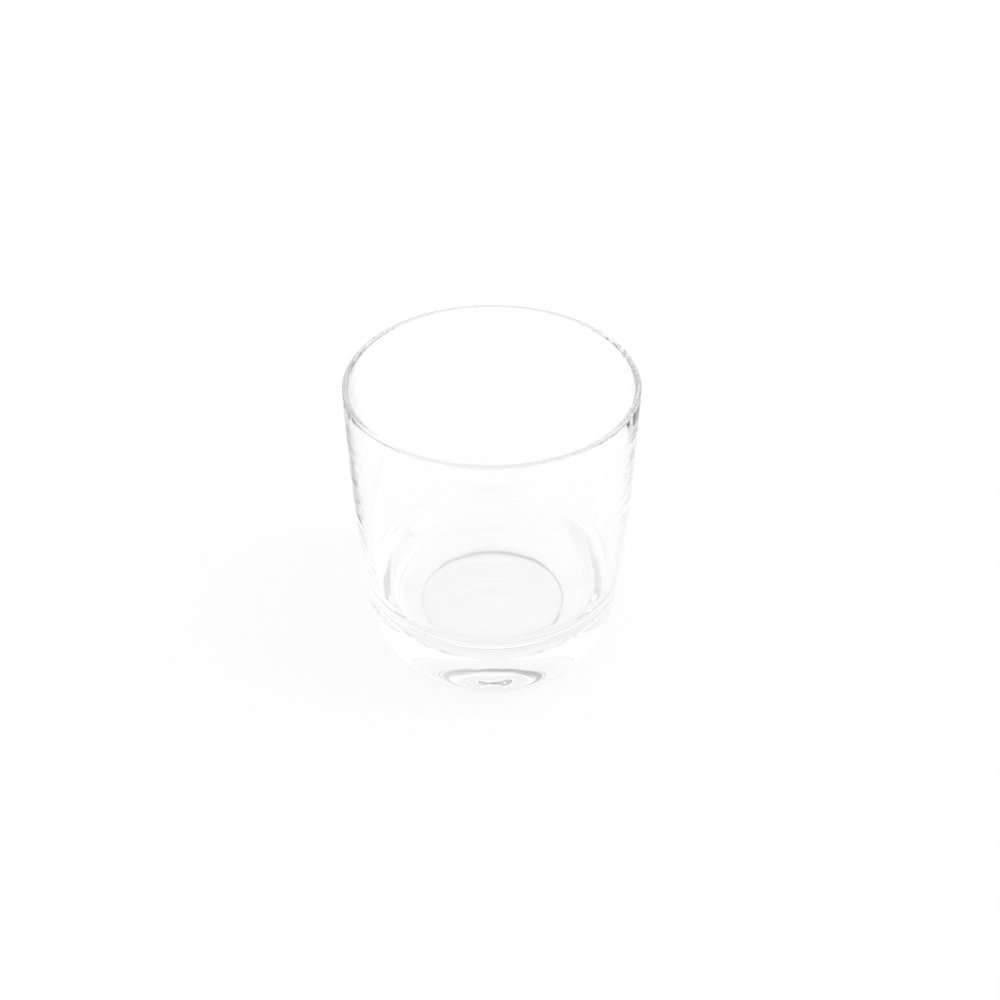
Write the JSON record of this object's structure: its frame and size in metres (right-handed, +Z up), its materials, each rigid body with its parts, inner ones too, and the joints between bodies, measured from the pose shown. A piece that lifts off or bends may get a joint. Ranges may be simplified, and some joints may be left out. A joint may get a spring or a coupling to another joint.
{
  "type": "whiskey tumbler",
  "caption": "Clear glass whiskey tumbler: thick weighted base with a shallow hollow underneath, rounded heel, gently tapered thin wall and rounded rim.",
  "frame": {"origin": "centre of the resting face, on the table plane under the tumbler", "axes": "+Z up along the tumbler's axis, out of its mouth; +X and +Y are alike because the tumbler is round"},
  "size_m": [0.084, 0.084, 0.0932],
  "materials": {
    "clear_glass": "fire_polished"
  },
  "bodies": {
    "root": {"glass_body": "clear_glass"}
  },
  "joints": []
}
